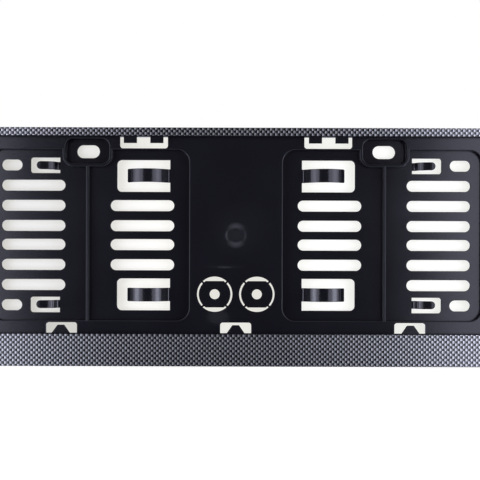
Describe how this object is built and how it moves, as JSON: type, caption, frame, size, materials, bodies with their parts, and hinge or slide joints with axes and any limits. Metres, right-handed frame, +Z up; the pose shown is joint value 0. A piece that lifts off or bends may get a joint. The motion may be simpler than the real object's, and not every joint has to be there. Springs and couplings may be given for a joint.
{
  "type": "number plate holder",
  "caption": "Moulded tray with a raised frame that holds a long number plate against its tabs, with screw slots, spring tongues and a carbon-look film on the frame.",
  "frame": {"origin": "on the plane of the back rim, behind the middle of the plate", "axes": "+X along the plate (to the right seen from the front), +Z up, +Y towards the car; the front faces -Y"},
  "size_m": [0.5314, 0.012, 0.135],
  "materials": {
    "black_plastic": "black moulded plastic, low satin gloss",
    "carbon_look": "printed film with a fine silver-grey and black weave pattern"
  },
  "bodies": {
    "root": {"holder_moulding": "black_plastic", "carbon_look_film": "carbon_look"}
  },
  "joints": []
}
